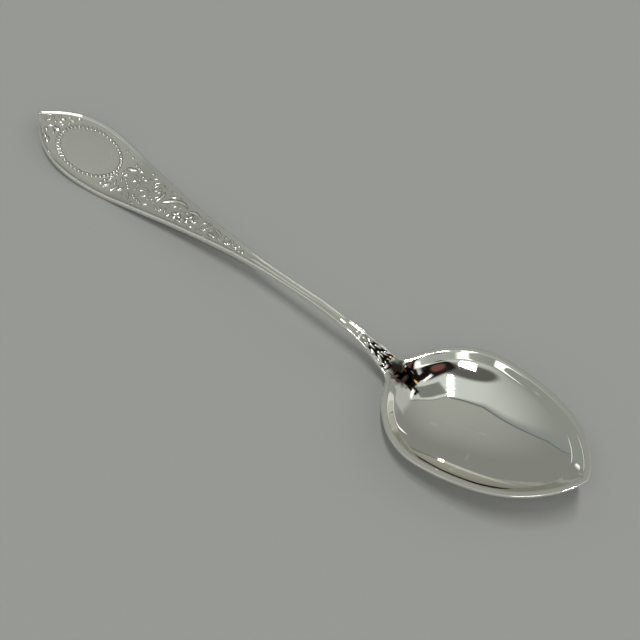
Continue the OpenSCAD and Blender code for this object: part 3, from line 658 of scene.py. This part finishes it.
huskStrokes = [
    (0.8, (0.5, 0.015), (0.515, 0.017), (0.526, 0.01)), (1.4, (0.53, -0.006), (0.547, -0.007)),
    (1, (0.53, 0.011), (0.545, 0.008), (0.56, 0.003)), (0.8, (0.55, -0.001), (0.562, -0.006)),
    (0.8, (0.564, 0.008), (0.573, 0.005)), (0.9, (0.571, -0.002), (0.58, -0.008)),
    (0.8, (0.579, 0.001), (0.585, -0.006)), (0.9, (0.58, 0.009), (0.59, 0.005)),
    (0.9, (0.592, -0.004), (0.606, 0)), (0.8, (0.598, 0.005), (0.609, 0.006)),
    (0.6, (0.575, -0.002), (0.584, -0.006)), (0.6, (0.578, 0.003), (0.587, -0.002)),
    (0.6, (0.585, 0.005), (0.593, 0.001)), (0.5, (0.535, 0.002), (0.55, 0.001)),
    (0.6, (0.52, 0.004), (0.53, 0.003)), (0.5, (0.606, -0.004), (0.615, -0.004))]
huskBeads = [(1, (0.62, -0.001))]
huskVolutes = [((0.514, 0), 0.012, 0.004, 60, 400)]
shoulderMiddle = [(0.8, (0.909, 0), (0.921, 0)), (0.7, (0.926, 0), (0.94, 0)), (0.7, (0.945, 0), (0.959, 0)),
                  (0.7, (0.964, 0), (0.98, 0))]
shoulderSide = [(0.6, (0.918, 0.0045), (0.931, 0.006)), (0.6, (0.935, 0.0045), (0.949, 0.0065)),
                (0.7, (0.953, 0.0055), (0.967, 0.0095)), (0.7, (0.969, 0.0045), (0.983, 0.0085)),
                (0.5, (0.957, 0.009), (0.966, 0.0125)), (0.6, (0.973, 0.0095), (0.984, 0.0135)),
                (0.5, (0.985, 0.003), (0.993, 0.006)), (0.5, (0.94, 0.002), (0.947, 0.0045)),
                (0.6, (0.986, 0.0095), (0.995, 0.0125))]


def onHandle(p):
    return np.array([along(p[0]), p[1] * outlineLength])


def ridgeLine(points, width, height, even=False):
    # line of places with a half width and a height at each, pointed at both ends unless it is even
    knots = np.array(points, float)
    places = np.concatenate([[0], np.cumsum(np.linalg.norm(np.diff(knots, axis=0), axis=1))])
    u = np.linspace(0, 1, max(8, round(places[-1] / ornament["lineStep"])))
    if even:
        swell = np.ones(len(u))
    else:
        swell = np.sin(np.pi * u ** (math.log(0.5) / math.log(ornament["leafPeak"]))) ** ornament["leafPoint"]
    return hermiteAt(places, knots, u * places[-1]), width / 2 * swell, height * swell


def stroke(row):
    return ridgeLine([onHandle(p) for p in row[1:]], row[0] * ornament["strokeWidth"],
                     ornament["height"] * min(1, row[0]))


def beadAt(place, size):
    # a line with next to no length
    return (np.array([place, place + (1e-4, 0)]), np.full(2, size * ornament["beadWidth"] / 2),
            np.full(2, size * ornament["beadHeight"]))


def bead(row):
    return beadAt(onHandle(row[1]), row[0])


def volute(row):
    (cx, cy), widest, smallest, start, turn = row
    u = np.linspace(0, 1, 40)
    angle, radius = np.radians(start + turn * u), lerp(widest, smallest, u)
    line = np.array([onHandle((cx + r * math.cos(a), cy + r * math.sin(a))) for a, r in zip(angle, radius)])
    swell = smoothStep(-0.1, 0.3, u) * (0.75 + 0.25 * u)
    return line, ornament["voluteWidth"] * ornament["strokeWidth"] / 2 * swell, ornament["height"] * swell


def flower(row):
    (cx, cy), reach = row
    petals = []
    for quarter in range(4):
        dx, dy = math.cos(quarter * math.pi / 2) * reach, math.sin(quarter * math.pi / 2) * reach
        petals.append(ridgeLine([onHandle((cx + k * dx, cy + k * dy)) for k in (ornament["petalFrom"], 1)],
                                ornament["petalWidth"] * ornament["strokeWidth"], ornament["height"]))
    return petals + [bead((ornament["pistil"], (cx, cy)))]


def reliefHeight(elements, x, y):
    # height of the ornament over the ground, with a low fringe at its foot that carries painted shade and tarnish
    height = np.zeros(x.shape)
    for line, halves, heights in elements:
        reach = halves.max() * ornament["fringe"]
        near = ((x > line[:, 0].min() - reach) & (x < line[:, 0].max() + reach)
                & (y > line[:, 1].min() - reach) & (y < line[:, 1].max() + reach))
        px, py, best = x[near], y[near], height[near]
        for k in range(len(line) - 1):
            step = line[k + 1] - line[k]
            t = np.clip(((px - line[k, 0]) * step[0] + (py - line[k, 1]) * step[1]) / max(step @ step, 1e-12), 0, 1)
            away = (px - line[k, 0] - t * step[0]) ** 2 + (py - line[k, 1] - t * step[1]) ** 2
            half = np.maximum(lerp(halves[k], halves[k + 1], t), ornament["thinnest"])
            out = np.sqrt(away) / half
            rise = lerp(heights[k], heights[k + 1], t) * np.maximum(0, 1 - out ** ornament["crest"])
            best = np.maximum(best, rise + np.where(out < ornament["fringe"], foot, 0))
        height[near] = best
    return height


def reliefPiece(name, node, material, height, box, base):
    # closed skin on a fine grid, kept where the ornament stands and sunk a little into the ground around it
    step = ornament["grid"]
    xs, ys = np.arange(box[0], box[2], step), np.arange(box[1], box[3], step)
    x, y = np.meshgrid(xs, ys, indexing="ij")
    h = height(x, y)
    corner = np.maximum(np.maximum(h[:-1, :-1], h[1:, :-1]), np.maximum(h[:-1, 1:], h[1:, 1:]))
    keep = np.pad(corner > ornament["least"], 1)
    keep = keep[1:-1, 1:-1] | keep[:-2, 1:-1] | keep[2:, 1:-1] | keep[1:-1, :-2] | keep[1:-1, 2:]
    # two cells that meet at a corner only get a third beside them, so that no edge has four faces
    keep[1:, :-1] |= keep[:-1, :-1] & keep[1:, 1:] & ~keep[:-1, 1:]
    keep[1:, 1:] |= keep[:-1, 1:] & keep[1:, :-1] & ~keep[:-1, :-1]
    top = base(x) + h - ornament["sunk"]
    low = np.minimum(base(x), ground(x)) - ornament["skin"]
    numbers = np.arange(x.size).reshape(x.shape)
    count = x.size
    i, j = np.nonzero(keep)
    a, b, c, d = numbers[i, j], numbers[i + 1, j], numbers[i + 1, j + 1], numbers[i, j + 1]
    faces = [np.stack([a, b, c, d], axis=1), np.stack([a, d, c, b], axis=1) + count]
    padded = np.pad(keep, 1)
    for di, dj, one, other in ((-1, 0, d, a), (1, 0, b, c), (0, -1, a, b), (0, 1, c, d)):
        isOpen = ~padded[i + 1 + di, j + 1 + dj]
        first, second = one[isOpen], other[isOpen]
        faces.append(np.stack([second, first, first + count, second + count], axis=1))
    faces = np.vstack(faces)
    used, faces = np.unique(faces, return_inverse=True)
    points = np.vstack([np.stack([x, y, z], axis=-1).reshape(-1, 3) for z in (top, low)])
    piece = meshObject(name, placed(points[used]).tolist(), faces.reshape(-1, 4).tolist(), material)
    # how far each point is up the relief: the feet get painted shade and tarnish, the crests the rubbed polish
    worn = piece.data.attributes.new("polishAndLightShare", "FLOAT", "POINT")
    crests = np.tile(smoothStep(foot, foot + 0.5 * ornament["height"], h).ravel(), 2)
    worn.data.foreach_set("value", crests[used])
    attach(piece, "root")
    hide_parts(node)


def struckPiece(name, node, elements):
    ends = [(line.min(axis=0) - halves.max(), line.max(axis=0) + halves.max()) for line, halves, _ in elements]
    low, high = np.min(ends, axis=0)[0] - ornament["margin"], np.max(ends, axis=0)[1] + ornament["margin"]
    reliefPiece(name, node, struck, lambda x, y: reliefHeight(elements, x, y),
                (*low, *high), ground)


struck = struckSilver()
reserveX = along(reserve["place"])
halfLong, halfWide = reserve["length"] / 2, reserve["width"] / 2
reserveSlope = (ground(reserveX + halfLong / 2) - ground(reserveX - halfLong / 2)) / halfLong


def reserveHeight(x, y):
    # flat oval whose edge dies away into the ground
    out = np.hypot((x - reserveX) / halfLong, y / halfWide)
    share = np.clip((1 - out) * halfWide / reserve["edge"], 0, 1)
    return np.where(out < 1, ornament["sunk"] + reserve["height"] * share * (1.25 - 0.25 * share), 0)


reliefPiece("Cartouche", "cartouche", silver, reserveHeight,
            (reserveX - halfLong - reserve["margin"], -halfWide - reserve["margin"],
             reserveX + halfLong + reserve["margin"], halfWide + reserve["margin"]),
            lambda x: ground(reserveX) + (x - reserveX) * reserveSlope)
borderLines = []
borderReach = np.array([halfLong, halfWide]) + reserve["beadGap"] + ornament["beadWidth"] / 2
for k in range(reserve["beads"]):
    angle = 2 * math.pi * (k + 0.5) / reserve["beads"]
    away = borderReach * (math.cos(angle), math.sin(angle))
    centre, outward = away + (reserveX, 0), away / np.linalg.norm(away) * ornament["beadWidth"] / 2
    if away[0] > reserve["reedsFrom"] * borderReach[0]:
        borderLines.append(beadAt(centre, 1))
    else:
        borderLines.append(ridgeLine([centre - outward, centre + outward],
                                     reserve["reedWidth"] * ornament["strokeWidth"], ornament["beadHeight"], True))
struckPiece("BeadBorder", "bead_border", borderLines)
struckPiece("TipScrolls", "tip_scrolls", [*map(stroke, tipStrokes), *map(bead, tipBeads), *map(volute, tipVolutes)])
struckPiece("LeafSprays", "leaf_sprays", [*map(stroke, sprayStrokes), *map(bead, sprayBeads)])
struckPiece("ScrollWork", "scroll_work",
            [*map(stroke, scrollStrokes), *map(bead, scrollBeads), *map(volute, scrollVolutes)])
struckPiece("Rosettes", "rosettes", [*map(stroke, rosetteStrokes), *sum(map(flower, rosetteFlowers), [])])
struckPiece("HuskDrop", "husk_drop", [*map(stroke, huskStrokes), *map(bead, huskBeads), *map(volute, huskVolutes)])
shoulderOther = [(row[0], *[(a, -b) for a, b in row[1:]]) for row in shoulderSide]
struckPiece("ShoulderLeaves", "shoulder_leaves", [*map(stroke, shoulderMiddle + shoulderSide + shoulderOther)])

print("studio")
# Half the floor's side in metres, so far that its edge lies at the horizon
floorHalf = 12
# Painted board, matt, so that the shadow on it is soft and nothing is mirrored
board, tree = newMaterial("matteStudioBoard")
shader = addNode(tree, "ShaderNodeBsdfPrincipled", {}, {"Base Color": linear("#9e9e9b"), "Roughness": 0.8})
addNode(tree, "ShaderNodeOutputMaterial", {}, {"Surface": shader.outputs["BSDF"]})
corners = [(x * floorHalf, y * floorHalf, 0) for x, y in ((-1, -1), (1, -1), (1, 1), (-1, 1))]
floor = meshObject("Floor", corners, [(0, 1, 2, 3)], board)

world = bpy.data.worlds.new("Studio")
bpy.context.scene.world = world
world.use_nodes = True
sky = world.node_tree
sky.nodes.clear()
# Walls on either side of a seam overhead, the bowl's end being +X
studio = {
    "warmLow": "#868985", "warmHigh": "#a2a5a0", "coolLow": "#8f9490", "coolHigh": "#ccd3cf",
    "seam": "#4f5555", "seamWidth": 0.02, "seamEdge": 0.012, "seamShade": "#8a9090", "shadeWidth": 0.22,
    # pale band low down at the bowl's end: how high it stands, where along X it starts, how soft both edges are
    "ring": "#d8d8d8", "ringTop": 0.24, "ringTopSoft": 0.05, "ringFrom": 0.1, "ringFromSoft": 0.1,
    # lines that the seam follows overhead: slope and height where it crosses the middle
    "seamLines": [(-0.3, -0.47), (-0.05, 0.01), (0.25, 0.19), (2.5, 0.385), (15, -2.86)],
}
# Cards: centre and half size in degrees from overhead, turn, softness of the edge, colour, strength, oval or not
studioCards = [
    ((8, 17), (6, 15), -20, 0.12, "#7d827f", 1, False),
    ((-8, -25), (32, 8), 29, 0.25, "#5d5f5b", 1, True),
    ((20, -8), (9, 13), -15, 0.15, "#1d1816", 1, False),
    ((18.5, -9), (3.5, 6), -20, 0.3, "#6f4a46", 1, True),
    ((20, 52), (11, 14), 0, 0.25, "#b4b6b4", 1, False),
    ((21, 17), (3.8, 20), 0, 0.1, "#15120f", 1, False),
    ((15.5, 30), (4.5, 6), 0, 0.15, "#1d1612", 1, False),
    ((13.6, 36), (1.2, 8), 8, 0.3, "#ffffff", 1.3, False),
    ((19, 17), (2, 1.8), 0, 0.3, "#d8ac5e", 1.3, True),
    ((16.8, 4), (1.2, 4.5), 0, 0.3, "#ffffff", 1.3, False),
    ((38, -27), (6, 4), 0, 0.3, "#1c1b1a", 1, False),
    ((37, -7), (7, 6), -15, 0.3, "#ffffff", 1.4, False),
    ((20, -49), (11, 3), 20, 0.3, "#ffffff", 1.6, False),
    ((-31, -64), (14, 13), 0, 0.2, "#ffffff", 1.6, False),
    ((-43, -71), (11, 2.5), -20, 0.3, "#ffffff", 1.6, False),
    ((-80, 4), (6, 16), 0, 0.3, "#ffffff", 2, False),
    ((3, 74), (9, 3), -20, 0.3, "#ffffff", 1.6, False),
    ((64, 0), (11, 60), 0, 0.3, "#ffffff", 1.4, False),
    ((0, -80), (60, 5), 0, 0.3, "#ffffff", 1.3, False),
]
direction = addNode(sky, "ShaderNodeTexCoord").outputs["Generated"]
parts = addNode(sky, "ShaderNodeSeparateXYZ", {}, {"Vector": direction}).outputs
upward = addNode(sky, "ShaderNodeMath", {"operation": "MAXIMUM"}, {0: parts["Z"], 1: 0.05}).outputs[0]
# the sky laid out on a flat ceiling one unit up
ceiling = addNode(sky, "ShaderNodeVectorMath", {"operation": "DIVIDE"}, {0: direction, 1: upward}).outputs[0]
over = addNode(sky, "ShaderNodeSeparateXYZ", {}, {"Vector": ceiling}).outputs
seamAt = -10  # below every line
for slope, height in studio["seamLines"]:
    line = addNode(sky, "ShaderNodeMath", {"operation": "MULTIPLY_ADD"}, {0: over["X"], 1: slope, 2: height})
    seamAt = addNode(sky, "ShaderNodeMath", {"operation": "MAXIMUM"}, {0: line.outputs[0], 1: seamAt}).outputs[0]
acrossSeam = addNode(sky, "ShaderNodeMath", {"operation": "SUBTRACT"}, {0: over["Y"], 1: seamAt}).outputs[0]
fromSeam = addNode(sky, "ShaderNodeMath", {"operation": "ABSOLUTE"}, {0: acrossSeam}).outputs[0]
# the shade beside the seam widens away from overhead
toward = addNode(sky, "ShaderNodeMath", {"operation": "ABSOLUTE"}, {0: over["X"]}).outputs[0]
toward = addNode(sky, "ShaderNodeMath", {"operation": "MAXIMUM"}, {0: toward, 1: 0.15}).outputs[0]
shaded = addNode(sky, "ShaderNodeMath", {"operation": "DIVIDE"}, {0: acrossSeam, 1: toward}).outputs[0]
# Shades: what each follows, where it starts and is full, and its colours; the seam's are laid over the walls'
smooth = {"interpolation_type": "SMOOTHSTEP"}
shades = [(parts["Z"], 0.35, 0.95, "warmLow", "warmHigh"), (parts["Z"], 0.4, 0.97, "coolLow", "coolHigh")]
walls = []
for follows, start, fullAt, low, high in shades:
    share = addNode(sky, "ShaderNodeMapRange", smooth, {"Value": follows, "From Min": start, "From Max": fullAt})
    walls.append(addNode(sky, "ShaderNodeMix", rgba, {
        0: share.outputs[0], 6: linear(studio[low]), 7: linear(studio[high])}).outputs[2])
warm, colour = walls
for follows, start, fullAt, laid in ((shaded, -studio["shadeWidth"], 0, linear(studio["seamShade"])),
                                     (acrossSeam, -studio["seamEdge"], studio["seamEdge"], warm),
                                     (fromSeam, studio["seamWidth"], 0, linear(studio["seam"]))):
    share = addNode(sky, "ShaderNodeMapRange", smooth, {"Value": follows, "From Min": start, "From Max": fullAt})
    colour = addNode(sky, "ShaderNodeMix", rgba, {0: share.outputs[0], 6: colour, 7: laid}).outputs[2]
for centre, half, turn, soft, hexColour, strength, isOval in studioCards:
    polar = math.hypot(*centre)
    reach = math.tan(math.radians(polar)) / polar
    card = addNode(sky, "ShaderNodeMapping", {"vector_type": "TEXTURE"}, {
        "Vector": ceiling, "Location": (centre[0] * reach, centre[1] * reach, 1),
        "Rotation": (0, 0, math.radians(turn)), "Scale": (half[0] * reach, half[1] * reach, 1)})
    card = addNode(sky, "ShaderNodeVectorMath", {"operation": "ABSOLUTE"}, {0: card.outputs[0]}).outputs[0]
    if isOval:
        away = addNode(sky, "ShaderNodeVectorMath", {"operation": "LENGTH"}, {0: card}).outputs["Value"]
    else:
        sides = addNode(sky, "ShaderNodeSeparateXYZ", {}, {"Vector": card}).outputs
        away = addNode(sky, "ShaderNodeMath", {"operation": "MAXIMUM"}, {0: sides["X"], 1: sides["Y"]}).outputs[0]
    share = addNode(sky, "ShaderNodeMapRange", smooth, {
        "Value": away, "From Min": 1 + soft, "From Max": 1 - soft})
    colour = addNode(sky, "ShaderNodeMix", rgba, {
        0: share.outputs[0], 6: colour, 7: [c * strength for c in linear(hexColour)]}).outputs[2]
low = addNode(sky, "ShaderNodeMapRange", smooth, {
    "Value": parts["Z"], "From Min": studio["ringTop"] + studio["ringTopSoft"],
    "From Max": studio["ringTop"] - studio["ringTopSoft"]})
ahead = addNode(sky, "ShaderNodeMapRange", smooth, {
    "Value": parts["X"], "From Min": studio["ringFrom"] - studio["ringFromSoft"],
    "From Max": studio["ringFrom"] + studio["ringFromSoft"]})
share = addNode(sky, "ShaderNodeMath", {"operation": "MULTIPLY"}, {0: low.outputs[0], 1: ahead.outputs[0]})
colour = addNode(sky, "ShaderNodeMix", rgba, {
    0: share.outputs[0], 6: colour, 7: linear(studio["ring"])}).outputs[2]
background = addNode(sky, "ShaderNodeBackground", {}, {"Strength": 1, "Color": colour})
addNode(sky, "ShaderNodeOutputWorld", {}, {"Surface": background.outputs["Background"]})

# Soft lamps: direction from overhead in degrees, turn, distance from the bowl in metres, size in metres,
# brightness as seen, colour, and whether the metal mirrors it
lamps = {
    "KeySoftbox": ((40, 45), 0, 5, (3.5, 3.1), 0.55, "#ffffff", False),
    "CeilingStrip": ((0.5, -1), -51, 5, (1.92, 0.27), 42, "#ffffff", True),
    "CeilingWindow": ((1.5, -27), 20, 5, (1.46, 0.58), 7, "#ffffff", True),
}
bowlPlace = np.array([45, 0, 8]) * mm
for name, (aim, turn, distance, size, seen, hexColour, isMirrored) in lamps.items():
    lamp = bpy.data.lights.new(name, "AREA")
    lamp.shape = "RECTANGLE"
    lamp.size, lamp.size_y = size
    lamp.color = linear(hexColour)[:3]
    lamp.energy = seen * size[0] * size[1] * 4  # an area lamp's power for that radiance
    made = addObject(name, lamp)
    polar = math.radians(math.hypot(*aim))
    bearing = math.atan2(aim[1], aim[0])
    made.location = bowlPlace + distance * np.array([
        math.sin(polar) * math.cos(bearing), math.sin(polar) * math.sin(bearing), math.cos(polar)])
    spin = Matrix.Rotation(math.radians(turn) - bearing, 3, "Z")
    made.rotation_euler = (Euler((0, polar, bearing)).to_matrix() @ spin).to_euler()
    made.visible_camera = False
    made.visible_glossy = isMirrored

cameraView = {"target": (12.32, -1.22, 3.98), "distance": 243.8, "azimuth": 40.99, "elevation": 57.18, "fov": 30}
camera = addObject("Camera", bpy.data.cameras.new("Camera"))
camera.data.angle = math.radians(cameraView["fov"])
camera.data.clip_start = 0.01
azimuth, elevation = math.radians(cameraView["azimuth"]), math.radians(cameraView["elevation"])
offset = np.array([math.sin(azimuth) * math.cos(elevation), -math.cos(azimuth) * math.cos(elevation),
                   math.sin(elevation)]) * cameraView["distance"]
camera.location = [(t + o) * mm for t, o in zip(cameraView["target"], offset)]
camera.rotation_euler = (math.pi / 2 - elevation, 0, azimuth)
bpy.context.scene.camera = camera
bpy.context.scene.view_settings.view_transform = "Standard"
